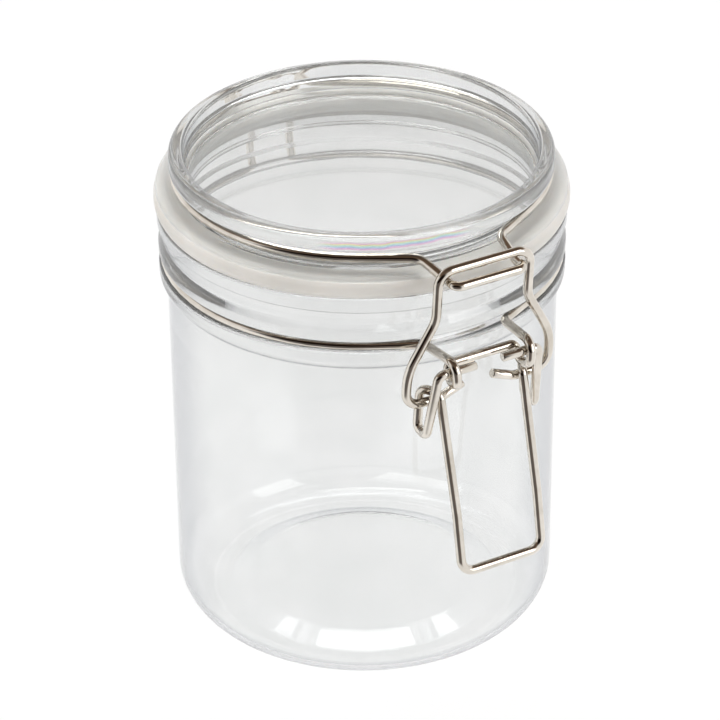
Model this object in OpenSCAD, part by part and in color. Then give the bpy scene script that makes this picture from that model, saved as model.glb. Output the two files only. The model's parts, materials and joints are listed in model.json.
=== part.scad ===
// Clip-top plastic storage jar: a clear jar and lid, a silicone gasket and a sprung wire closure.
// +Z is up. The origin is the centre of the foot. The clamp faces -Y and the hinge is at +Y.

/* [Jar] */
// Outside diameter of the body
body_d = 92; // [84:1:104]
// Height of the jar's rim above the foot
rim_h = 107.2; // [96:0.2:150]
// Wall thickness of the body
body_wall = 1.2; // [0.8:0.1:1.8]
// Distance from the outside of the body in to the edge of the mouth
mouth_inset = 2; // [1.9:0.1:3]
// Radius of the rounded bottom edge
foot_round = 8.4; // [6:0.2:12]

/* [Lid] */
// Thickness of the gasket between the rim and the lid
gasket_h = 4; // [3:0.1:5]
// Height of the lid above the gasket
lid_h = 9.8; // [9:0.1:14]
// Thickness of the lid's crown ring
crown_wall = 3.6; // [3.2:0.1:5]
// Thickness of the lid's sunken panel
panel_t = 2.2; // [1.6:0.1:3]

/* [Wire closure] */
// Diameter of the steel wire
wire_d = 2.2; // [2:0.1:2.3]
// Length of the lever below its pivot
lever_l = 49.5; // [40:0.5:60]
// Width of the lever between the middles of its legs
lever_w = 21.2; // [20.6:0.1:21.6]
// Width of the bail's top bar between the middles of its legs
bail_w = 23.6; // [23.2:0.1:25]
// Width of the bail at its pivots
bail_foot_w = 37.2; // [36:0.2:42]

/* [Hidden] */
$fn = 96;
wire_fn = 24;
arc_step = 9;

body_r = body_d / 2;
mouth_r = body_r - mouth_inset;
wire_r = wire_d / 2;
// Gap left between a wire and the plastic that it lies on
seat_gap = 0.1;
// Distance between the middles of a pin and of the wire bent round it
eye_r = wire_d + 0.12;
// An eye is wound with a slight sideways lead, so that its two ends lie side by side
eye_lead = 0.2;
// A bend is drawn down a little thinner than the straight wire, which runs on into it by this much
bend_draw = 0.98;
bend_lap = 0.1;

// Neck of the jar: a low bead, the neck wire's groove, a high bead, a notch and the rim band
bead_r = body_r + 1.8;
rim_r = body_r + 2;
groove_z = rim_h - 12.9;
groove_half_h = wire_r + seat_gap;
neck_ring_r = body_r + 0.4;
lip_round = 0.8;
low_bead_z = rim_h - 16.6;
low_bead_round = 2.6;
neck_fillet = 1.6;
high_bead_z = rim_h - 10;
high_bead_round = 4;
high_bead_angle = 38;
notch_z = rim_h - 6.8;
notch_r = body_r + 0.9;
rim_band_z = rim_h - 4;
rim_round = 1;
rim_under_angle = 65;
mouth_edge = 0.4;
neck_blend_z = rim_h - 18.8;
neck_blend_h = 10;

// Foot: a flat ring to stand on, with the base pushed up inside it
draft = 0.2;
foot_r = body_r - draft - foot_round;
foot_w = 4.4;
push_up_h = 2.2;
push_up_run = 6;

// Lid, stacked on the gasket: a plug, a flange, a sloping shoulder and a crown ring over the lid wire's groove
flange_z = rim_h + gasket_h;
flange_r = body_r + 2;
flange_edge = 0.7;
flange_round = 0.7;
flange_round_angle = 56;
gasket_r = body_r + 2.5;
gasket_bulge_r = 0.9 * gasket_h;
crown_r = body_r - 1.2;
crown_z = flange_z + lid_h;
crown_round = 1.6;
crown_inner_round = 1.2;
shoulder_r = body_r - 0.8;
lid_groove_z = [flange_z + 2.7, flange_z + 5.8];
lid_groove_r = crown_r - 2.4;
panel_z = flange_z + 0.4;
panel_fillet = 1.2;
plug_r = mouth_r - 0.8;
plug_wall = 1.8;
plug_depth = 2.2;
plug_chamfer = 0.5;
plug_lip = 0.35;
plug_lip_h = 0.9;

// Ring of the lid wire, and the corners where both rings turn out to the clamp and the hinge: [half width, reach]
lid_ring_r = lid_groove_r + wire_r + seat_gap;
lid_ring_z = lid_groove_z[0] + 1.4;
neck_front = [10.4, body_r + 0.7];
neck_back = [8.4, body_r + 1.1];
lid_corner = [10.3, body_r - 1.3];

// Pivots of the clamp, as seen from the side: [reach from the jar's axis, height]
lever_axis = [body_r + 11.6, groove_z - 2];
bail_axis = [body_r + 6.6, groove_z - 11.2];
bail_bar = [body_r + 9.4, lid_ring_z + 1.7];
hook_nose = [body_r + 11.9, lid_ring_z - 1.4];
hook_dip = [body_r + 7.8, lid_ring_z - 1.4];
hinge_axis = [body_r + 6, rim_h + 2];

// Half widths of the wire bends
hook_half_w = 8.8;
eye_half_w = 9.4;
hinge_half_w = 10.2;
hinge_eye_half_w = 5.6;
loop_half_w = 14.2;
pin_end_half_w = 3.4;

// Points on an arc in the profile plane, from angle a0 to a1
function arc(c, r, a0, a1) =
    let (n = max(2, ceil(abs(a1 - a0) / arc_step)))
    [for (i = [0:n]) let (a = a0 + (a1 - a0) * i / n) c + r * [cos(a), sin(a)]];

function unit(v) = v / norm(v);
// A point on the clamp's side of the jar: half width, then [reach, height]
function front(w, p) = [w, -p.x, p.y];
function back(w, p) = [w, p.x, p.y];
// The whole wire from its right half: the left half is its mirror image
function both_sides(half) =
    concat([for (i = [len(half) - 1:-1:0]) [-half[i].x, half[i].y, half[i].z]], half);
function both_bends(bends) = concat([for (i = [len(bends) - 1:-1:0]) bends[i]], bends);
// Points of a ring about the jar's axis at an angle from the front
function ring_point(r, a, z) = [r * sin(a), -r * cos(a), z];
// Angle from the front at which a straight run to a corner leaves a ring
function leave_angle(r, corner) = atan2(corner.x, corner.y) + acos(r / norm(corner));
// Corner where the tangents at two angles of a ring meet
function ring_corner(r, a0, a1, z) = ring_point(r / cos((a1 - a0) / 2), (a0 + a1) / 2, z);

// One bend of a wire: an elbow that turns from direction u to direction v at the corner p
module elbow(p, u, v, bend_r) {
    across = unit(v - u * (u * v));
    turn = acos(u * v);
    centre = p - u * bend_r * tan(turn / 2) + across * bend_r;
    normal = cross(u, across);
    multmatrix([
        [-across.x, u.x, normal.x, centre.x],
        [-across.y, u.y, normal.y, centre.y],
        [-across.z, u.z, normal.z, centre.z],
        [0, 0, 0, 1]])
        rotate_extrude(angle = turn) translate([bend_r, 0]) circle(wire_r * bend_draw, $fn = wire_fn);
}

// One straight stretch of a wire
module rod(a, b) {
    u = unit(b - a);
    side = unit(cross(u, abs(u.z) < 0.9 ? [0, 0, 1] : [1, 0, 0]));
    other = cross(u, side);
    multmatrix([
        [side.x, other.x, u.x, a.x],
        [side.y, other.y, u.y, a.y],
        [side.z, other.z, u.z, a.z],
        [0, 0, 0, 1]])
        cylinder(h = norm(b - a), r = wire_r, $fn = wire_fn);
}

// A wire bent at the points of its path, each with its bend radius, which is 0 at a cut end
module bent_wire(path, bends, closed = false) {
    n = len(path);
    rods = closed ? n : n - 1;
    dirs = [for (i = [0:rods - 1]) unit(path[(i + 1) % n] - path[i])];
    setbacks = [for (i = [0:n - 1])
        bends[i] == 0 ? 0 : bends[i] * tan(acos(dirs[(i + n - 1) % n] * dirs[i]) / 2) - bend_lap];
    for (i = [0:rods - 1])
        let (j = (i + 1) % n)
            rod(path[i] + dirs[i] * setbacks[i], path[j] - dirs[i] * setbacks[j]);
    for (i = [0:n - 1])
        if (bends[i] > 0) elbow(path[i], dirs[(i + n - 1) % n], dirs[i], bends[i]);
}

module jar_body() {
    base_in = foot_r - foot_w;
    inner_r = body_r - body_wall;
    bead_turn = acos(1 - (bead_r - body_r) / (neck_fillet + low_bead_round));
    fillet_z = low_bead_z - (neck_fillet + low_bead_round) * sin(bead_turn);
    outside = concat(
        [[0, push_up_h], [base_in - push_up_run, push_up_h], [base_in, 0]],
        arc([foot_r, foot_round], foot_round, -90, 0),
        arc([body_r + neck_fillet, fillet_z], -neck_fillet, 0, -bead_turn),
        arc([bead_r - low_bead_round, low_bead_z], low_bead_round, -bead_turn, 0),
        arc([bead_r - lip_round, groove_z - groove_half_h - lip_round], lip_round, 0, 90),
        arc([neck_ring_r, groove_z], groove_half_h, -90, -270),
        arc([bead_r - lip_round, groove_z + groove_half_h + lip_round], lip_round, -90, 0),
        arc([bead_r - high_bead_round, high_bead_z], high_bead_round, 0, high_bead_angle),
        [[notch_r, notch_z]],
        arc([rim_r - rim_round, rim_band_z + rim_round], rim_round, -rim_under_angle, 0),
        arc([rim_r - rim_round, rim_h - rim_round], rim_round, 0, 90));
    inside = concat(
        [[mouth_r + mouth_edge, rim_h], [mouth_r, rim_h - mouth_edge], [mouth_r, neck_blend_z],
            [inner_r, neck_blend_z - neck_blend_h]],
        arc([foot_r, foot_round], foot_round - body_wall, 0, -90),
        [[base_in, body_wall], [base_in - push_up_run, push_up_h + body_wall], [0, push_up_h + body_wall]]);
    color([0.9, 0.91, 0.91, 0.35])
        rotate_extrude() polygon(concat(outside, inside));
}

// The gasket bulges out between the rim and the flange
module gasket() {
    inner = plug_r + seat_gap / 2;
    bulge_angle = asin(gasket_h / 2 / gasket_bulge_r);
    color([0.86, 0.84, 0.79, 0.8])
        rotate_extrude() polygon(concat(
            [[inner, rim_h]],
            arc([gasket_r - gasket_bulge_r, rim_h + gasket_h / 2], gasket_bulge_r, -bulge_angle, bulge_angle),
            [[inner, flange_z]]));
}

module lid() {
    crown_in = crown_r - crown_wall;
    plug_in = plug_r - plug_wall;
    plug_z = rim_h - plug_depth;
    outside = concat(
        [[plug_in + plug_chamfer, plug_z], [plug_r, plug_z], [plug_r + plug_lip, plug_z + plug_lip_h / 2],
            [plug_r, plug_z + plug_lip_h], [plug_r, flange_z], [flange_r, flange_z]],
        arc([flange_r - flange_round, flange_z + flange_edge], flange_round, 0, flange_round_angle),
        [[shoulder_r, lid_groove_z[0]], [lid_groove_r, lid_groove_z[0]], [lid_groove_r, lid_groove_z[1]],
            [crown_r, lid_groove_z[1]]],
        arc([crown_r - crown_round, crown_z - crown_round], crown_round, 0, 90));
    inside = concat(
        arc([crown_in + crown_inner_round, crown_z - crown_inner_round], crown_inner_round, 90, 180),
        arc([crown_in - panel_fillet, panel_z + panel_t + panel_fillet], panel_fillet, 0, -90),
        [[0, panel_z + panel_t], [0, panel_z], [plug_in, panel_z], [plug_in, plug_z + plug_chamfer]]);
    color([0.9, 0.91, 0.92, 0.35])
        rotate_extrude() polygon(concat(outside, inside));
}

// The lever's eyes are longer than they are wide: the arms rise over the pins and hang below them
module neck_wire() {
    front_leave = leave_angle(neck_ring_r, neck_front);
    back_leave = 180 - leave_angle(neck_ring_r, neck_back);
    crossbar = lever_axis + [-3.3, 0.3];
    over_pin = eye_r + 0.8;
    below_pin = eye_r + 0.7;
    arm = hinge_axis.x - eye_r;
    path = [
        front(eye_half_w - 3 * eye_lead, crossbar),
        front(eye_half_w - 1.5 * eye_lead, lever_axis + [-1.9, -below_pin]),
        front(eye_half_w + eye_lead / 2, lever_axis + [eye_r, -below_pin]),
        front(eye_half_w + 2 * eye_lead, lever_axis + [eye_r, over_pin]),
        front(neck_front.x, [neck_front.y, groove_z]),
        ring_corner(neck_ring_r, front_leave, back_leave, groove_z),
        back(neck_back.x, [neck_back.y, groove_z]),
        back(hinge_eye_half_w + 2 * eye_lead, [arm, groove_z]),
        back(hinge_eye_half_w + eye_lead, [arm, hinge_axis.y + eye_r]),
        back(hinge_eye_half_w, hinge_axis + [eye_r, eye_r]),
        back(hinge_eye_half_w - eye_lead, hinge_axis + [eye_r, -eye_r]),
        back(hinge_eye_half_w - 2 * eye_lead, hinge_axis + [-eye_r / 2, -eye_r])];
    bends = [1.4, 2.2, 2.4, 2.9, 2.6, neck_ring_r, 1.6, 1.5, 2, 2, 2, 0];
    color([0.8, 0.79, 0.77])
        bent_wire(both_sides(path), both_bends(bends));
}

module lid_wire() {
    lid_leave = leave_angle(lid_ring_r, lid_corner);
    hinge_knee = [hinge_axis.x - 1.4, lid_ring_z - 0.6];
    path = [
        front(hook_half_w, hook_nose),
        front(hook_half_w + 0.2, hook_dip),
        front(lid_corner.x, [lid_corner.y, lid_ring_z]),
        ring_corner(lid_ring_r, lid_leave, 180 - lid_leave, lid_ring_z),
        back(lid_corner.x, [lid_corner.y, lid_ring_z]),
        back(hinge_half_w, hinge_knee),
        back(hinge_half_w, hinge_axis)];
    bends = [1.9, 4, 4.6, lid_ring_r, 1.8, 2, 1.8];
    color([0.8, 0.79, 0.77])
        bent_wire(both_sides(path), both_bends(bends), closed = true);
}

// Each end of the lever runs down over the bail's pin, round a hanging loop and back up to the pivot
module lever() {
    leg_w = lever_w / 2;
    foot = lever_axis + [7, -lever_l];
    knee = foot + [-2.6, 14.2];
    arch_h = 2.4;
    arch = bail_axis + [1.8, arch_h];
    loop_l = 7.9;
    loop_d = 4.2;
    loop_foot = bail_axis - [2.45, loop_l];
    path = [
        front(leg_w, foot),
        front(leg_w, knee),
        front(leg_w + 0.2, arch),
        front(loop_half_w - 0.8, loop_foot + [0, loop_l + arch_h]),
        front(loop_half_w, loop_foot),
        front(loop_half_w, loop_foot + [loop_d, 0]),
        front(loop_half_w - 1.2, lever_axis),
        front(pin_end_half_w, lever_axis)];
    bends = [3.2, 12, 2, 2, 1.9, 1.9, 1.8, 0];
    color([0.8, 0.79, 0.77])
        bent_wire(both_sides(path), both_bends(bends));
}

// The free end of each of the bail's pins is bent up a little inside the lever's legs
module bail() {
    waist_h = 21.5;
    hip_h = 9.2;
    pin_half_w = 9.6;
    pin_rise = 2.3;
    lean = (bail_bar.x - bail_axis.x) / (bail_bar.y - bail_axis.y);
    path = [
        front(bail_w / 2, bail_bar),
        front(bail_w / 2, bail_axis + waist_h * [lean, 1]),
        front(bail_foot_w / 2, bail_axis + hip_h * [lean, 1]),
        front(bail_foot_w / 2, bail_axis),
        front(pin_half_w, bail_axis),
        front(pin_end_half_w + 0.4, bail_axis + [0, pin_rise])];
    bends = [3.6, 8, 14, 4, 3, 0];
    color([0.8, 0.79, 0.77])
        bent_wire(both_sides(path), both_bends(bends));
}

jar_body();
gasket();
lid();
neck_wire();
lid_wire();
lever();
bail();
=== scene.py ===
import bmesh
import bpy
import json
import math
from mathutils import Matrix, Vector


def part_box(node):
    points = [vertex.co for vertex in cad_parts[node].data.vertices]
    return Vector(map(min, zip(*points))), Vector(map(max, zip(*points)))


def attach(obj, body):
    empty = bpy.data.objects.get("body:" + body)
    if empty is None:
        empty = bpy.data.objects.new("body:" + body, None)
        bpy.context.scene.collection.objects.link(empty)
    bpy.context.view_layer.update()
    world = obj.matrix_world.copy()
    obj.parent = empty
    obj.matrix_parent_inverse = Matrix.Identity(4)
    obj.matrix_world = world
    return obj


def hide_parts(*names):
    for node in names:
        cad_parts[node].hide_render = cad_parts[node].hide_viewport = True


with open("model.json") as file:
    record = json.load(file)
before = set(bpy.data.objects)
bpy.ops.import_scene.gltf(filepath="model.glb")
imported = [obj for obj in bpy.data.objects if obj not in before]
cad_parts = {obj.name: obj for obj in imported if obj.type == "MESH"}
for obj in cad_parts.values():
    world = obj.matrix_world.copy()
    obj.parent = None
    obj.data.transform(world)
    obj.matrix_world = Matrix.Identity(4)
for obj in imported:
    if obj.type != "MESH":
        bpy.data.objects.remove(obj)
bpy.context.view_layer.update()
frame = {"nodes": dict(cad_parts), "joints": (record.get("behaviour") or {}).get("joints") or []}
mm = 0.001
joint = {j["name"]: j for j in frame["joints"]}
print("frame loaded:", ", ".join(sorted(frame["nodes"])))


# shader helpers

class Knot:  # one socket, which takes part in sums
    def __init__(self, board, socket):
        self.board = board
        self.socket = socket

    def sum(self, operation, left, right):
        return self.board.node("ShaderNodeMath", {"operation": operation}, {0: left, 1: right})

    def __add__(self, other):
        return self.sum("ADD", self, other)

    def __radd__(self, other):
        return self.sum("ADD", other, self)

    def __sub__(self, other):
        return self.sum("SUBTRACT", self, other)

    def __rsub__(self, other):
        return self.sum("SUBTRACT", other, self)

    def __mul__(self, other):
        return self.sum("MULTIPLY", self, other)

    def __rmul__(self, other):
        return self.sum("MULTIPLY", other, self)

    def __truediv__(self, other):
        return self.sum("DIVIDE", self, other)

    def __rtruediv__(self, other):
        return self.sum("DIVIDE", other, self)

    def __gt__(self, other):
        return self.sum("GREATER_THAN", self, other)


class Board:  # one node tree
    def __init__(self, owner):
        owner.use_nodes = True
        self.tree = owner.node_tree
        self.tree.nodes.clear()

    def node(self, kind, settings=None, sockets=None, out=0):
        made = self.tree.nodes.new(kind)
        for name, value in (settings or {}).items():
            if name == "stops":
                ramp = made.color_ramp
                while len(ramp.elements) < len(value):
                    ramp.elements.new(1.0)
                for element, (place, colour) in zip(ramp.elements, value):
                    element.position = place
                    element.color = (*colour, 1.0)
            else:
                setattr(made, name, value)
        for name, value in (sockets or {}).items():
            if isinstance(value, Knot):
                self.tree.links.new(value.socket, made.inputs[name])
            else:
                made.inputs[name].default_value = value
        return Knot(self, made.outputs[out]) if len(made.outputs) else None

    def surface(self, shader, kind="ShaderNodeOutputMaterial"):
        self.node(kind, None, {"Surface": shader})


def stretched(board, start, scale):
    return board.node("ShaderNodeMapping", None, {"Vector": start, "Scale": scale})


def grain(board, where, scale, detail, roughness=0.5):
    return board.node("ShaderNodeTexNoise", None,
                      {"Vector": where, "Scale": scale, "Detail": detail, "Roughness": roughness})


def bumpOf(board, height, strength, distance):
    return board.node("ShaderNodeBump", None, {"Height": height, "Strength": strength, "Distance": distance})


def rampOf(board, factor, stops):
    return board.node("ShaderNodeValToRGB", {"stops": stops}, {"Fac": factor})


def blend(board, share, first, second, kind="MIX"):
    return board.node("ShaderNodeMix", {"data_type": "RGBA", "blend_type": kind},
                      {0: share, 6: first, 7: second}, out=2)


def axisOf(board, vector, axis):
    return board.node("ShaderNodeSeparateXYZ", None, {"Vector": vector}, out=axis)


def rayIs(board, kind):
    return board.node("ShaderNodeLightPath", out="Is " + kind + " Ray")


def ramped(board, value, start, end):
    return board.node("ShaderNodeMapRange", {"interpolation_type": "SMOOTHSTEP"}, {
        "Value": value, "From Min": start, "From Max": end}, out="Result")


# clear moulded plastic

clearPlastic = {
    "ior": 1.56,
    "pale": (0.985, 0.99, 0.988),
    "shade": (0.955, 0.965, 0.962),
    "deep": (0.82, 0.82, 0.815),
    "density": 90.0,
    "clearShare": 0.95,
    # painted shade: the clear plastic's colour darkens towards its outline, where the wall is seen aslant
    "edge": [(0.5, (1.0, 1.0, 1.0)), (0.75, (0.66, 0.67, 0.70)), (0.95, (0.36, 0.37, 0.41))],
    "lampsPass": (0.97, 0.97, 0.97),
    "gloss": 0.012,
    "haze": 0.03,
    "flowScale": 38.0,
    "flowStretch": (1.0, 1.0, 0.22),
    "flowBump": 0.10,
    "flowDepth": 0.0006,
    "dullScale": 76.0,
    "dullSpan": (0.3, 0.65),
    "rubScale": 900.0,
    "rubStretch": (1.0, 1.0, 0.08),
    "wornFrom": 0.64,
}


def makeClearPlastic(name, look, rainbowHighlight=None):
    material = bpy.data.materials.new(name)
    board = Board(material)
    place = board.node("ShaderNodeTexCoord", out="Object")
    flow = grain(board, stretched(board, place, look["flowStretch"]), look["flowScale"], 2.0)
    rub = grain(board, stretched(board, place, look["rubStretch"]), look["rubScale"], 4.0, 0.6)
    dull = grain(board, place, look["dullScale"], 3.0)
    colour = rampOf(board, dull, list(zip(look["dullSpan"], (look["shade"], look["pale"]))))
    # painted shade: the colour is multiplied darker where the wall is seen aslant
    turned = board.node("ShaderNodeLayerWeight", None, {"Blend": 0.5}, out="Facing")  # the wall seen aslant
    colour = blend(board, 1.0, colour, rampOf(board, turned, look["edge"]), "MULTIPLY")
    # painted highlight: the rainbow of moulding stress is multiplied into the colour
    if rainbowHighlight:
        colour = paintedStressHighlight(board, place, colour, rainbowHighlight)
    worn = (rub > look["wornFrom"]) * dull
    rough = look["gloss"] + worn * look["haze"]
    normal = bumpOf(board, flow, look["flowBump"], look["flowDepth"])
    plastic = board.node("ShaderNodeBsdfPrincipled", None, {
        "Base Color": colour, "Roughness": rough, "Normal": normal,
        "IOR": look["ior"], "Transmission Weight": look["clearShare"]})
    clear = board.node("ShaderNodeBsdfTransparent", None, {"Color": (*look["lampsPass"], 1.0)})
    lampLight = rayIs(board, "Shadow")  # lamps reach what lies behind the plastic
    seen = board.node("ShaderNodeMixShader", None, {0: lampLight, 1: plastic, 2: clear})
    depth = board.node("ShaderNodeVolumeAbsorption", None, {
        "Color": (*look["deep"], 1.0), "Density": look["density"]})
    board.node("ShaderNodeOutputMaterial", None, {"Surface": seen, "Volume": depth})
    return material


# faint rainbow of moulding stress, a streak on the crown's outer wall: the stress is in the plastic, its
# rainbow is a painted highlight

crownStressHighlight = {
    "low": 0.1174,
    "high": 0.1200,
    "toward": (-0.334, -0.943, 0.0),
    "fade": (0.0408, 0.0432),
    "softEdge": 0.2,
    "driftScale": 70.0,
    "driftStretch": (1.0, 1.0, 0.15),
    "drift": 1.6,
    "colours": [(0.1, (0.99, 0.99, 0.99)), (0.25, (1.0, 0.45, 0.76)), (0.42, (0.4, 0.54, 1.0)),
                (0.56, (0.5, 1.0, 0.76)), (0.7, (1.0, 0.82, 0.34)), (0.8, (1.0, 0.52, 0.78)),
                (0.95, (0.99, 0.99, 0.99))],
}


def paintedStressHighlight(board, place, under, look):
    across = board.node("ShaderNodeMapRange", {"clamp": False}, {
        "Value": axisOf(board, place, "Z"), "From Min": look["low"], "From Max": look["high"]}, out="Result")
    drift = grain(board, stretched(board, place, look["driftStretch"]), look["driftScale"], 2.0)
    bands = rampOf(board, across + (drift - 0.5) * look["drift"], look["colours"])
    # the painted highlight is kept to the side of the crown that faces 'toward'
    facing = board.node("ShaderNodeVectorMath", {"operation": "DOT_PRODUCT"},
                        {0: place, 1: look["toward"]}, out="Value")
    inward = board.node("ShaderNodeMath", {"operation": "PINGPONG"}, {0: across, 1: 0.5})  # 0 at both edges
    within = (across > 0.0) * (1.0 - (across > 1.0)) * ramped(board, inward, 0.0, look["softEdge"])
    return blend(board, ramped(board, facing, *look["fade"]) * within, under, bands, "MULTIPLY")


# off-white silicone

silicone = {
    "pale": (0.67, 0.658, 0.63),
    "shade": (0.60, 0.59, 0.56),
    "cloudScale": 45.0,
    "cloudSpan": (0.35, 0.62),
    "rough": 0.38,
    "pitScale": 1600.0,
    "pitRough": 0.16,
    "pitBump": 0.08,
    "pitDepth": 0.0002,
    "ior": 1.41,
    "bleed": (1.0, 0.85, 0.7),
    "deep": 0.0025,
    "through": 0.35,
}


def makeSilicone(name, look):
    material = bpy.data.materials.new(name)
    board = Board(material)
    place = board.node("ShaderNodeTexCoord", out="Object")
    cloud = grain(board, place, look["cloudScale"], 4.0)
    pits = grain(board, place, look["pitScale"], 2.0)
    colour = rampOf(board, cloud, list(zip(look["cloudSpan"], (look["shade"], look["pale"]))))
    rough = look["rough"] + (pits - 0.5) * look["pitRough"]
    normal = bumpOf(board, pits, look["pitBump"], look["pitDepth"])
    board.surface(board.node("ShaderNodeBsdfPrincipled", None, {
        "Base Color": colour, "Roughness": rough, "Normal": normal, "IOR": look["ior"],
        "Subsurface Weight": look["through"], "Subsurface Radius": look["bleed"],
        "Subsurface Scale": look["deep"]}))
    return material


# bright drawn wire

brightWire = {
    "pale": (0.78, 0.735, 0.67),
    "shade": (0.60, 0.55, 0.48),
    "toneSpan": (0.36, 0.58),
    "polish": 0.02,
    "drag": 0.04,
    "lines": (9.0, 0.35, 1.0),  # round the wire, along it
    "lineScale": 14.0,
    "lineBump": 0.07,
    "lineDepth": 0.00004,
    "cloudScale": 160.0,
}


def makeBrightWire(name, look):
    material = bpy.data.materials.new(name)
    board = Board(material)
    along = board.node("ShaderNodeUVMap", {"uv_map": "drawn"})
    place = board.node("ShaderNodeTexCoord", out="Object")
    lines = grain(board, stretched(board, along, look["lines"]), look["lineScale"], 5.0, 0.65)
    cloud = grain(board, place, look["cloudScale"], 3.0)
    tone = lines * 0.5 + cloud * 0.5
    colour = rampOf(board, tone, list(zip(look["toneSpan"], (look["shade"], look["pale"]))))
    rough = look["polish"] + lines * cloud * look["drag"]
    normal = bumpOf(board, lines, look["lineBump"], look["lineDepth"])
    board.surface(board.node("ShaderNodeBsdfPrincipled", None, {
        "Base Color": colour, "Roughness": rough, "Normal": normal, "Metallic": 1.0}))
    return material


print("materials ready")


# turned pieces: a profile of corners [radius, height, corner rounding], in mm, spun round the jar's axis

spin = {"steps": 240, "cornerStep": math.radians(9.0)}


def roundedCorners(corners, step):
    points = []
    last = len(corners) - 1
    for i, (r, z, rounding) in enumerate(corners):
        here = Vector((r, z))
        if rounding == 0 or i in (0, last):
            points.append(here)
            continue
        back = (Vector(corners[i - 1][:2]) - here).normalized()
        on = (Vector(corners[i + 1][:2]) - here).normalized()
        turn = math.pi - back.angle(on)
        reach = rounding * math.tan(turn / 2)
        centre = here + (back + on).normalized() * (rounding / math.cos(turn / 2))
        first = here + back * reach - centre
        side = 1 if back.x * on.y - back.y * on.x < 0 else -1
        bits = max(3, math.ceil(turn / step))
        for k in range(bits + 1):
            points.append(centre + Matrix.Rotation(side * turn * k / bits, 2) @ first)
    return points


def turnedPiece(name, corners, material, body, node):
    profile = roundedCorners(corners, spin["cornerStep"])
    mesh = bpy.data.meshes.new(name)
    shape = bmesh.new()
    rings = []
    for p in profile:
        if abs(p.x) < 1e-6:
            rings.append([shape.verts.new((0, 0, p.y * mm))])
            continue
        ring = []
        for k in range(spin["steps"]):
            a = 2 * math.pi * k / spin["steps"]
            ring.append(shape.verts.new((p.x * mm * math.cos(a), p.x * mm * math.sin(a), p.y * mm)))
        rings.append(ring)
    closed = len(rings[0]) > 1
    pairs = list(zip(rings, rings[1:])) + ([(rings[-1], rings[0])] if closed else [])
    for low, high in pairs:
        for k in range(spin["steps"]):
            n = (k + 1) % spin["steps"]
            if len(low) == 1:
                shape.faces.new((low[0], high[n], high[k]))
            elif len(high) == 1:
                shape.faces.new((low[k], low[n], high[0]))
            else:
                shape.faces.new((low[k], low[n], high[n], high[k]))
    bmesh.ops.recalc_face_normals(shape, faces=shape.faces)
    for face in shape.faces:
        face.smooth = True
    shape.to_mesh(mesh)
    shape.free()
    dressPiece(bpy.data.objects.new(name, mesh), material, body, node)


def dressPiece(piece, material, body, node):
    bpy.context.scene.collection.objects.link(piece)
    piece.data.materials.append(material)
    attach(piece, body)
    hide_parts(node)


# jar body

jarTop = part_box("jar_body")[1]
jar = {
    "rimR": jarTop.x / mm,
    "rimZ": jarTop.z / mm,
    "bodyR": jarTop.x / mm - 2.0,
    "wall": 1.2,
    "mouthInset": 2.0,
    "footRound": 8.4,
    "footWidth": 4.4,
    "pushUp": 2.2,
    "pushUpRun": 6.0,
    "draft": 0.2,
    "beadOut": 1.8,
    "beadDrop": (19.15, 17.8, 9.2),  # below the rim: where it leaves the wall, is full and ends
    "grooveDrop": 12.9,
    "grooveHalf": 1.2,
    "grooveOut": 0.4,
    "neckOut": 0.9,
    "neckDrop": (7.2, 6.6),
    "bandOut": 1.35,
    "bandDrop": (4.0, 3.6),
    "mouthDrop": (18.8, 28.8),  # inside, where the mouth's bore starts and ends its run into the wall
}


def jarCorners(look):
    r, top, rim, floor = look["bodyR"], look["rimZ"], look["rimR"], look["wall"]
    bead, neck = r + look["beadOut"], r + look["neckOut"]
    inner, mouth = r - look["wall"], r - look["mouthInset"]
    beadZ, neckZ, bandZ, mouthZ = [[top - drop for drop in look[part]]
                                   for part in ("beadDrop", "neckDrop", "bandDrop", "mouthDrop")]
    groove, half = top - look["grooveDrop"], look["grooveHalf"]
    seat = r + look["grooveOut"] - half
    foot = r - look["draft"]
    footIn = foot - look["footRound"] - look["footWidth"]
    middle, up = footIn - look["pushUpRun"], look["pushUp"]
    return [
        (0, up, 0), (middle, up, 6), (footIn, 0, 1.5), (foot, 0, look["footRound"]),
        (r, beadZ[0], 1.6), (bead, beadZ[1], 2.4),
        (bead, groove - half, 0.8), (seat, groove - half, 1.15),
        (seat, groove + half, 1.15), (bead, groove + half, 0.8),
        (bead, beadZ[2], 2.0), (neck, neckZ[0], 0.5), (neck, neckZ[1], 0.5),
        (r + look["bandOut"], bandZ[0], 0.4), (rim, bandZ[1], 0.6), (rim, top, 1.0), (mouth, top, 0.5),
        (mouth, mouthZ[0], 14), (inner, mouthZ[1], 14),
        (foot - floor, floor, look["footRound"] - floor),
        (footIn, floor, 1.5), (middle, up + floor, 6), (0, up + floor, 0)]


jarPlastic = makeClearPlastic("jarClear", clearPlastic)
turnedPiece("jarShell", jarCorners(jar), jarPlastic, "jar", "jar_body")
print("jar turned, rim at", round(jar["rimZ"], 2), "mm")


# gasket, pressed between the rim and the lid's flange

gasketLow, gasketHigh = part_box("gasket")
gasket = {
    "outerR": gasketHigh.x / mm,
    "innerR": jar["bodyR"] - jar["mouthInset"] - 0.8,  # reaches this far into the mouth
    "lowZ": gasketLow.z / mm,
    "highZ": gasketHigh.z / mm,
    "bulge": 0.6,
    "flat": 0.9,
    "press": 0.02,  # it wets the lid's plastic, so that no air shows between them
    "hair": 0.005,  # and is lifted off the rim by this much
}


def gasketCorners(look):
    low, high = look["lowZ"] + look["hair"], look["highZ"] + look["press"]
    middle, edge, inner = (low + high) / 2, look["outerR"] - look["bulge"], look["innerR"] - look["press"]
    return [
        (inner, low, 0), (edge, low, 0.25), (look["outerR"], middle - look["flat"], 2.2),
        (look["outerR"], middle + look["flat"], 2.2), (edge, high, 0.25), (inner, high, 0)]


gasketSilicone = makeSilicone("offWhiteSilicone", silicone)
turnedPiece("gasketRing", gasketCorners(gasket), gasketSilicone, "lid", "gasket")
print("gasket turned")


# lid

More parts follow.
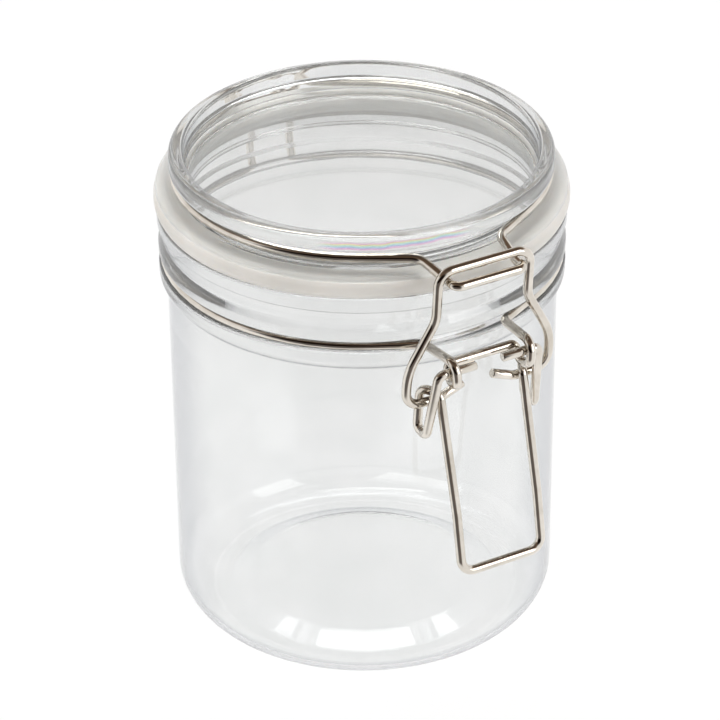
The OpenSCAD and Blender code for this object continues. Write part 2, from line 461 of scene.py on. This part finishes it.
lid = {
    "flangeZ": gasket["highZ"],
    "flangeR": jar["bodyR"] + 2.0,
    "flangeT": 1.05,
    "crownR": jar["bodyR"] - 1.2,
    "crownZ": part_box("lid")[1].z / mm,
    "crownWall": 3.6,
    "crownRound": 1.6,
    "panelT": 2.2,
    "panelRise": 0.4,
    "shoulder": 0.4,
    "plugDepth": 6.2,
    "plugWall": 1.8,
    "lip": (0.35, 0.45),  # a small ridge round the plug's lower edge, out and half its height
    "grooveLow": 2.7,
    "grooveHigh": 5.8,
    "grooveDepth": 2.4,
}


def lidCorners(look):
    base, top, crown = look["flangeZ"], look["crownZ"], look["crownR"]
    plug = gasket["innerR"]
    hollow = plug - look["plugWall"]
    panel = base + look["panelRise"]
    plugZ, (lipOut, lipZ) = base - look["plugDepth"], look["lip"]
    low, high = base + look["grooveLow"], base + look["grooveHigh"]
    seat, inside = crown - look["grooveDepth"], crown - look["crownWall"]
    return [
        (0, panel, 0), (hollow, panel, 0.8), (hollow, plugZ, 0.4), (plug, plugZ, 0.4),
        (plug + lipOut, plugZ + lipZ, 0.2), (plug, plugZ + 2 * lipZ, 0.2), (plug, base, 0.4),
        (look["flangeR"], base, 0.25), (look["flangeR"], base + look["flangeT"], 0.7),
        (crown + look["shoulder"], low, 0.5), (seat, low, 0.6), (seat, high, 0.6), (crown, high, 0.35),
        (crown, top, look["crownRound"]), (inside, top, 1.2),
        (inside, panel + look["panelT"], 1.2), (0, panel + look["panelT"], 0)]


lidPlastic = makeClearPlastic("lidClear", clearPlastic, crownStressHighlight)
turnedPiece("lidShell", lidCorners(lid), lidPlastic, "lid", "lid")
print("lid turned, crown at", round(lid["crownZ"], 2), "mm")


# bent wires: a path of corners, in mm, each with its bend radius, which is 0 at a cut end

wire = {"thick": 2.2, "sides": 28, "bendStep": math.radians(6.0), "cutEdge": 0.22, "eye": 2.32}
leverAxis, bailAxis, hingeAxis = [  # each joint's distance from the jar's axis and its height
    (abs(joint[name]["pos_m"][1]) / mm, joint[name]["pos_m"][2] / mm)
    for name in ("lever_swing", "bail_swing", "lid_hinge")]


def front(half, reach, height):
    return Vector((half, -reach, height))


def rear(half, reach, height):
    return Vector((half, reach, height))


def bothSides(corners, bends):
    path = list(zip(corners, bends))
    return [(Vector((-p.x, p.y, p.z)), bend) for p, bend in reversed(path)] + path


def centreLine(path):
    count = len(path)
    line = []
    for i, (here, bend) in enumerate(path):
        if bend == 0:
            line.append(here)
            continue
        back = (path[i - 1][0] - here).normalized()
        on = (path[(i + 1) % count][0] - here).normalized()
        turn = math.pi - back.angle(on)
        reach = bend * math.tan(turn / 2)
        centre = here + (back + on).normalized() * (bend / math.cos(turn / 2))
        axis = (-back).cross(on).normalized()
        arm = here + back * reach - centre
        bits = max(3, math.ceil(turn / wire["bendStep"]))
        for k in range(bits + 1):
            line.append(centre + Matrix.Rotation(turn * k / bits, 3, axis) @ arm)
    return line


def bentWire(name, path, material, body, node, closed=False):
    line = centreLine(path)
    count = len(line)
    radius = wire["thick"] / 2
    heads = []
    for i in range(count):
        before = line[i] - line[i - 1] if closed or i > 0 else line[1] - line[0]
        after = line[(i + 1) % count] - line[i] if closed or i < count - 1 else before
        heads.append((before.normalized() + after.normalized()).normalized())
    side = heads[0].orthogonal().normalized()
    sides = [side]
    for i in range(1, count):
        side = heads[i - 1].rotation_difference(heads[i]) @ side
        sides.append(side)
    twist = 0.0
    if closed:  # the frame comes home turned by this much, which is shared out along the wire
        home = heads[-1].rotation_difference(heads[0]) @ sides[-1]
        twist = math.atan2(home.cross(sides[0]).dot(heads[0]), home.dot(sides[0]))
    lengths = [0.0]
    for a, b in zip(line, line[1:]):
        lengths.append(lengths[-1] + (b - a).length)
    total = lengths[-1] + ((line[0] - line[-1]).length if closed else 0.0)

    stations = []
    for p, head, across, run in zip(line, heads, sides, lengths):
        across = Matrix.Rotation(twist * run / total, 3, head) @ across
        stations.append((p, head, across, radius, run))
    if not closed:  # a cut end has a small broken edge
        edge = wire["cutEdge"]
        p, head, across, r, run = stations[0]
        stations[0] = (p + head * edge, head, across, r, run)
        stations.insert(0, (p, head, across, r - edge, run))
        p, head, across, r, run = stations[-1]
        stations[-1] = (p - head * edge, head, across, r, run)
        stations.append((p, head, across, r - edge, run))

    mesh = bpy.data.meshes.new(name)
    shape = bmesh.new()
    drawn = shape.loops.layers.uv.new("drawn")
    n = wire["sides"]
    rings = []
    angles = [2 * math.pi * k / n for k in range(n)]
    for p, head, across, r, run in stations:
        up = head.cross(across)
        ring = [p + (across * math.cos(a) + up * math.sin(a)) * r for a in angles]
        rings.append([shape.verts.new(corner * mm) for corner in ring])
    runs = [s[4] for s in stations]
    joins = [(i, i + 1, runs[i], runs[i + 1]) for i in range(len(rings) - 1)]
    if closed:
        joins.append((len(rings) - 1, 0, runs[-1], total))
    for a, b, start, end in joins:
        for k in range(n):
            m = (k + 1) % n
            face = shape.faces.new((rings[a][k], rings[a][m], rings[b][m], rings[b][k]))
            face.smooth = True
            marks = ((k, start), (k + 1, start), (k + 1, end), (k, end))
            for loop, (turn, run) in zip(face.loops, marks):
                loop[drawn].uv = (turn / n, run / (2 * math.pi * radius))
    if not closed:
        shape.faces.new(list(reversed(rings[0])))
        shape.faces.new(rings[-1])
    bmesh.ops.recalc_face_normals(shape, faces=shape.faces)
    shape.to_mesh(mesh)
    shape.free()
    dressPiece(bpy.data.objects.new(name, mesh), material, body, node)


def leaveAngle(ringR, half, reach):
    return math.atan2(half, reach) + math.acos(ringR / math.hypot(half, reach))


def ringCorner(ringR, first, last, height):  # where the tangents at two angles from the front meet
    r, a = ringR / math.cos((last - first) / 2), (first + last) / 2
    return Vector((r * math.sin(a), -r * math.cos(a), height))


wireMetal = makeBrightWire("brightWire", brightWire)


# neck wire: a ring in the neck's groove, with two eyes in front and two behind

neckWire = {
    "ringR": jar["bodyR"] + 0.4,
    "ringZ": jar["rimZ"] - jar["grooveDrop"],
    "frontCorner": (10.4, jar["bodyR"] + 0.7),
    "backCorner": (8.4, jar["bodyR"] + 1.1),
    "crossbar": (-3.3, 0.3),
    "underPin": -1.9,
    "overPin": wire["eye"] + 0.8,
    "belowPin": wire["eye"] + 0.7,
    "eyeHalf": 9.4,
    "eyeLean": (-0.6, -0.3, 0.1, 0.4),  # the eye winds outward like a screw
    "frontBends": (1.4, 2.2, 2.4, 2.9, 2.6),
    "hingeEyeHalf": 5.6,
    "hingeLean": 0.2,
    "backBends": (1.6, 1.5, 2.0, 2.0, 2.0, 0),
}


def neckWirePath(look):
    x, z, e = *leverAxis, wire["eye"]
    hx, hz = hingeAxis
    half, lean = look["hingeEyeHalf"], look["hingeLean"]
    ringR, ringZ = look["ringR"], look["ringZ"]
    eyes = [look["eyeHalf"] + shift for shift in look["eyeLean"]]
    first = leaveAngle(ringR, *look["frontCorner"])
    last = math.pi - leaveAngle(ringR, *look["backCorner"])
    return bothSides([
        front(eyes[0], x + look["crossbar"][0], z + look["crossbar"][1]),
        front(eyes[1], x + look["underPin"], z - look["belowPin"]),
        front(eyes[2], x + e, z - look["belowPin"]),
        front(eyes[3], x + e, z + look["overPin"]),
        front(*look["frontCorner"], ringZ),
        ringCorner(ringR, first, last, ringZ),
        rear(*look["backCorner"], ringZ),
        rear(half + 2 * lean, hx - e, ringZ),
        rear(half + lean, hx - e, hz + e),
        rear(half, hx + e, hz + e),
        rear(half - lean, hx + e, hz - e),
        rear(half - 2 * lean, hx - e / 2, hz - e)], (*look["frontBends"], ringR, *look["backBends"]))


bentWire("neckRing", neckWirePath(neckWire), wireMetal, "jar", "neck_wire")


# lid wire: a closed ring in the crown's groove, with the hook in front and the hinge bar behind

lidWire = {
    "ringR": lid["crownR"] - lid["grooveDepth"] + wire["thick"] / 2 + 0.1,
    "ringZ": lid["flangeZ"] + lid["grooveLow"] + 1.4,
    "corner": (10.3, jar["bodyR"] - 1.3),
    "nose": (8.8, 11.9, -1.4),
    "dip": (9.0, 7.8, -1.4),
    "frontBends": (1.9, 4.0, 4.6),
    "hingeHalf": 10.2,
    "hingeKnee": (-1.4, -0.6),
    "backBends": (1.8, 2.0, 1.8),
}


def lidWirePath(look):
    ringR, ringZ, r = look["ringR"], look["ringZ"], jar["bodyR"]
    leave = leaveAngle(ringR, *look["corner"])
    half, knee = look["hingeHalf"], look["hingeKnee"]
    return bothSides([
        front(look["nose"][0], r + look["nose"][1], ringZ + look["nose"][2]),
        front(look["dip"][0], r + look["dip"][1], ringZ + look["dip"][2]),
        front(*look["corner"], ringZ),
        ringCorner(ringR, leave, math.pi - leave, ringZ),
        rear(*look["corner"], ringZ),
        rear(half, hingeAxis[0] + knee[0], ringZ + knee[1]),
        rear(half, *hingeAxis)], (*look["frontBends"], ringR, *look["backBends"]))


bentWire("lidRing", lidWirePath(lidWire), wireMetal, "lid", "lid_wire", closed=True)


# lever: a U-shaped handle whose ends loop over the bail's pins and turn in the neck wire's eyes

lever = {
    "half": 10.6,
    "length": 49.5,
    "kick": 7.0,
    "knee": (-2.6, 14.2),
    "arch": (1.8, 2.4),
    "loopHalf": 14.2,
    "loopLength": 7.9,
    "loopBack": 2.45,
    "loopDepth": 4.2,
    "spread": (0.2, -0.8, -1.2),  # sideways: at the arch, over it and at the pin
    "pinEnd": 3.4,
    "bends": (3.2, 12.0, 2.0, 2.0, 1.9, 1.9, 1.8, 0),
}


def leverPath(look):
    x, z, px, pz = *leverAxis, *bailAxis
    footX, footZ = x + look["kick"], z - look["length"]
    loopX, loopZ, loop = px - look["loopBack"], pz - look["loopLength"], look["loopHalf"]
    atArch, overArch, atPin = look["spread"]
    return bothSides([
        front(look["half"], footX, footZ),
        front(look["half"], footX + look["knee"][0], footZ + look["knee"][1]),
        front(look["half"] + atArch, px + look["arch"][0], pz + look["arch"][1]),
        front(loop + overArch, loopX, pz + look["arch"][1]),
        front(loop, loopX, loopZ),
        front(loop, loopX + look["loopDepth"], loopZ),
        front(loop + atPin, x, z),
        front(look["pinEnd"], x, z)], look["bends"])


bentWire("leverHandle", leverPath(lever), wireMetal, "lever", "lever")


# bail: the loop that pulls the lid's hook down

bail = {
    "barHalf": 11.8,
    "bar": (9.4, 1.7),
    "waist": 21.5,
    "hip": 9.2,
    "footHalf": 18.6,
    "pinHalf": 9.6,
    "pinEnd": 3.8,
    "pinRise": 2.3,
    "bends": (3.6, 8.0, 14.0, 4.0, 3.0, 0),
}


def bailPath(look):
    x, z = bailAxis
    barX, barZ = jar["bodyR"] + look["bar"][0], lidWire["ringZ"] + look["bar"][1]
    lean = (barX - x) / (barZ - z)
    return bothSides([
        front(look["barHalf"], barX, barZ),
        front(look["barHalf"], x + look["waist"] * lean, z + look["waist"]),
        front(look["footHalf"], x + look["hip"] * lean, z + look["hip"]),
        front(look["footHalf"], x, z),
        front(look["pinHalf"], x, z),
        front(look["pinEnd"], x, z + look["pinRise"])], look["bends"])


bentWire("bailLoop", bailPath(bail), wireMetal, "bail", "bail")
print("wires bent")


# studio: a white floor carrying painted shade seen through the plastic and a painted dark reflection seen in
# mirrors, soft lamps and a room with white sides, a brown ceiling and a dark camera side a wall's ramp runs
# from level at 0.5 to straight up at 1, the painted ground shade's outward from the jar in metres

studio = {
    "floorSize": 6.0,
    "floorWhite": 0.93,
    "floorGlow": 0.9,
    "turn": math.radians(49.0),  # from the clamp's side to the middle of the dark side
    "frontEdge": (0.6, 0.85),
    "sides": [(0.5, (0.95, 0.95, 0.95)), (0.7, (0.95, 0.94, 0.93)),
              (0.8, (0.2, 0.14, 0.1)), (1.0, (0.07, 0.05, 0.038))],
    "front": [(0.5, (0.012, 0.006, 0.004)), (0.85, (0.01, 0.006, 0.004)), (1.0, (0.07, 0.05, 0.038))],
    "through": [(0.5, (0.82, 0.82, 0.82)), (0.66, (0.7, 0.7, 0.69)),
                (0.78, (0.16, 0.15, 0.13)), (1.0, (0.08, 0.075, 0.065))],
    # painted shade: the floor as seen through the plastic, grey and darker further from the jar
    "paintedGroundShade": [(0.03, (0.86, 0.86, 0.87)), (0.12, (0.88, 0.88, 0.885)),
               (0.3, (0.82, 0.82, 0.825)), (0.9, (0.7, 0.7, 0.71))],
    # painted dark reflection: a brown card painted on the floor, seen only by mirrors
    "darkReflection": {"tip": (0.0438, -0.038), "spread": 1.1, "near": (0.05, 0.13), "soft": 0.3,
             "colours": [(0.0, (0.006, 0.002, 0.001)), (0.45, (0.02, 0.01, 0.006)),
                         (1.0, (0.14, 0.085, 0.055))]},
    "lamps": {
        "windowLeft": {"from": (-1.0, -0.4, 0.8), "size": (1.2, 1.0), "watts": 8.0, "mirrored": False},
        "windowRight": {"from": (0.55, -0.95, 0.55), "size": (0.6, 0.9), "watts": 4.0, "mirrored": True},
        "windowTop": {"from": (0.1, 0.3, 1.3), "size": (1.2, 0.8), "watts": 14.0, "mirrored": False},
    },
    "aim": (0.0, 0.0, 0.07),
}


def seenDirectly(board):  # 1 for what the eye, a mirror or clear plastic sees
    total = rayIs(board, "Camera") + rayIs(board, "Glossy") + rayIs(board, "Transmission")
    return board.node("ShaderNodeMath", {"operation": "MINIMUM"}, {0: total, 1: 1.0})


def turnedBy(board, place, turn):  # -Y of the result looks that much to the left of the clamp's side
    return board.node("ShaderNodeVectorRotate", {"rotation_type": "Z_AXIS"}, {"Vector": place, "Angle": turn})


def paintedDarkReflection(board, turned, darkReflection, under):  # painted dark reflection: a brown card painted on the floor that widens away from the clamp, for mirrors only
    depth = darkReflection["tip"][1] - axisOf(board, turned, "Y")
    across = (axisOf(board, turned, "X") - darkReflection["tip"][0]) / (depth * (2 * darkReflection["spread"])) + 0.5
    soft = darkReflection["soft"]
    wide = ramped(board, across, 0.0, soft) * (1.0 - ramped(board, across, 1.0 - soft, 1.0))
    ahead = ramped(board, depth, *darkReflection["near"])
    mirror = rayIs(board, "Glossy") * (1.0 - rayIs(board, "Transmission"))
    return blend(board, mirror * wide * ahead, under, rampOf(board, across, darkReflection["colours"]))


def makeFloor(look):
    half = look["floorSize"] / 2
    mesh = bpy.data.meshes.new("floor")
    corners = [(-half, -half, 0), (half, -half, 0), (half, half, 0), (-half, half, 0)]
    mesh.from_pydata(corners, [], [(0, 1, 2, 3)])
    floor = bpy.data.objects.new("floor", mesh)
    bpy.context.scene.collection.objects.link(floor)
    material = bpy.data.materials.new("whiteFloor")
    board = Board(material)
    paint = board.node("ShaderNodeBsdfDiffuse", None, {"Color": (*[look["floorWhite"]] * 3, 1.0)})
    place = board.node("ShaderNodeTexCoord", out="Object")
    away = board.node("ShaderNodeVectorMath", {"operation": "LENGTH"}, {0: place}, out="Value")
    white = (1.0, 1.0, 1.0, 1.0)
    # painted shade: through clear plastic the floor shows grey, darker away from the jar
    paintedGroundShade = blend(board, rayIs(board, "Transmission"), white, rampOf(board, away, look["paintedGroundShade"]))
    # the floor's colour carries the painted dark reflection for mirrors
    shade = paintedDarkReflection(board, turnedBy(board, place, look["turn"]), look["darkReflection"], paintedGroundShade)
    glow = board.node("ShaderNodeEmission", None, {"Color": shade, "Strength": 1.0})
    share = seenDirectly(board) * look["floorGlow"]
    board.surface(board.node("ShaderNodeMixShader", None, {0: share, 1: paint, 2: glow}))
    mesh.materials.append(material)


def makeRoom(look):
    world = bpy.data.worlds.new("studio")
    bpy.context.scene.world = world
    board = Board(world)
    turned = turnedBy(board, board.node("ShaderNodeTexCoord", out="Generated"), look["turn"])
    rise = axisOf(board, turned, "Z") * 0.5 + 0.5
    ahead = ramped(board, 0.0 - axisOf(board, turned, "Y"), *look["frontEdge"])
    walls = blend(board, ahead, rampOf(board, rise, look["sides"]), rampOf(board, rise, look["front"]))
    room = board.node("ShaderNodeBackground", None, {"Color": walls})
    pale = board.node("ShaderNodeBackground", None, {"Color": rampOf(board, rise, look["through"])})
    white = board.node("ShaderNodeBackground", None, {"Color": (1.0, 1.0, 1.0, 1.0)})
    seen = board.node("ShaderNodeMixShader", None, {0: rayIs(board, "Transmission"), 1: room, 2: pale})
    shown = board.node("ShaderNodeMixShader", None, {0: rayIs(board, "Camera"), 1: seen, 2: white})
    board.surface(shown, "ShaderNodeOutputWorld")


def makeLamps(look):
    for name, lamp in look["lamps"].items():
        data = bpy.data.lights.new(name, "AREA")
        data.shape = "RECTANGLE"
        data.size, data.size_y = lamp["size"]
        data.energy = lamp["watts"]
        made = bpy.data.objects.new(name, data)
        bpy.context.scene.collection.objects.link(made)
        made.visible_glossy = lamp["mirrored"]
        made.location = lamp["from"]
        facing = Vector(look["aim"]) - Vector(lamp["from"])
        made.rotation_euler = facing.to_track_quat("-Z", "Y").to_euler()


makeFloor(studio)
makeRoom(studio)
makeLamps(studio)
print("studio lit")


# camera, fitted to the photo's frame

shot = {"lens": 177.03, "sensor": 36.0, "clip": 0.05, "away": 0.727, "height": 0.501,
        "swing": math.radians(-29.2), "pan": 0.001, "tilt": 0.5427, "roll": -0.0083}


def makeCamera(look):
    data = bpy.data.cameras.new("shot")
    data.lens = look["lens"]
    data.sensor_width = look["sensor"]
    data.clip_start = look["clip"]
    camera = bpy.data.objects.new("shot", data)
    bpy.context.scene.collection.objects.link(camera)
    heading = Matrix.Rotation(look["swing"], 4, "Z")
    place = heading @ Vector((0, -look["away"], look["height"]))
    aim = Matrix.Rotation(look["pan"], 4, "Z") @ heading
    aim = aim @ Matrix.Rotation(math.pi / 2 - look["tilt"], 4, "X") @ Matrix.Rotation(look["roll"], 4, "Z")
    camera.matrix_world = Matrix.Translation(place) @ aim
    bpy.context.scene.camera = camera


makeCamera(shot)
bpy.context.scene.view_settings.view_transform = "Standard"
print("camera set")
